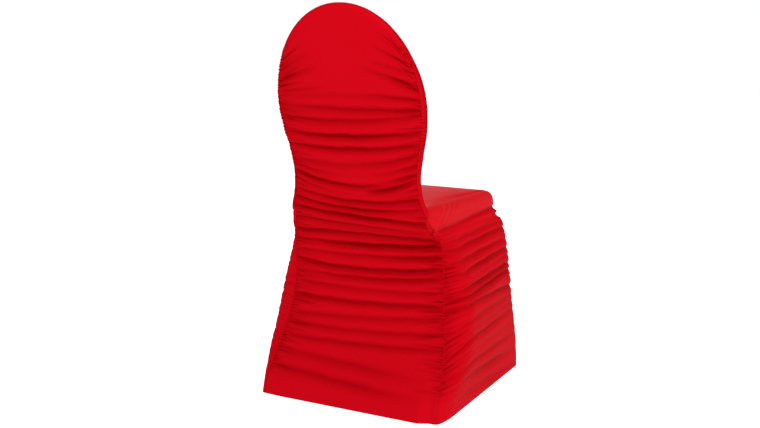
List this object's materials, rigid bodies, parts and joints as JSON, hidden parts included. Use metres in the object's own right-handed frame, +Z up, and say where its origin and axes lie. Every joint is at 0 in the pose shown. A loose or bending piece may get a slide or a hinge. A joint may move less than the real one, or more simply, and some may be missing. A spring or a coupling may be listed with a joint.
{
  "type": "banquet chair cover",
  "caption": "Fitted stretch cover for a round-backed banquet chair, gathered along its seams, smooth over the seat and open at the floor.",
  "frame": {"origin": "under the crown of the cover, midway across it, where the top of the chair's back carries it", "axes": "+Z up, +Y towards the rear of the chair, +X towards the sitter's left"},
  "size_m": [0.5147, 0.5271, 0.93],
  "materials": {
    "stretch_cloth": "smooth red stretch knit with a soft satin sheen"
  },
  "bodies": {
    "root": {"rear_panel": "stretch_cloth", "inner_back_panel": "stretch_cloth", "seat_panel": "stretch_cloth", "side_panel_right": "stretch_cloth", "side_panel_left": "stretch_cloth", "front_panel": "stretch_cloth"}
  },
  "joints": []
}
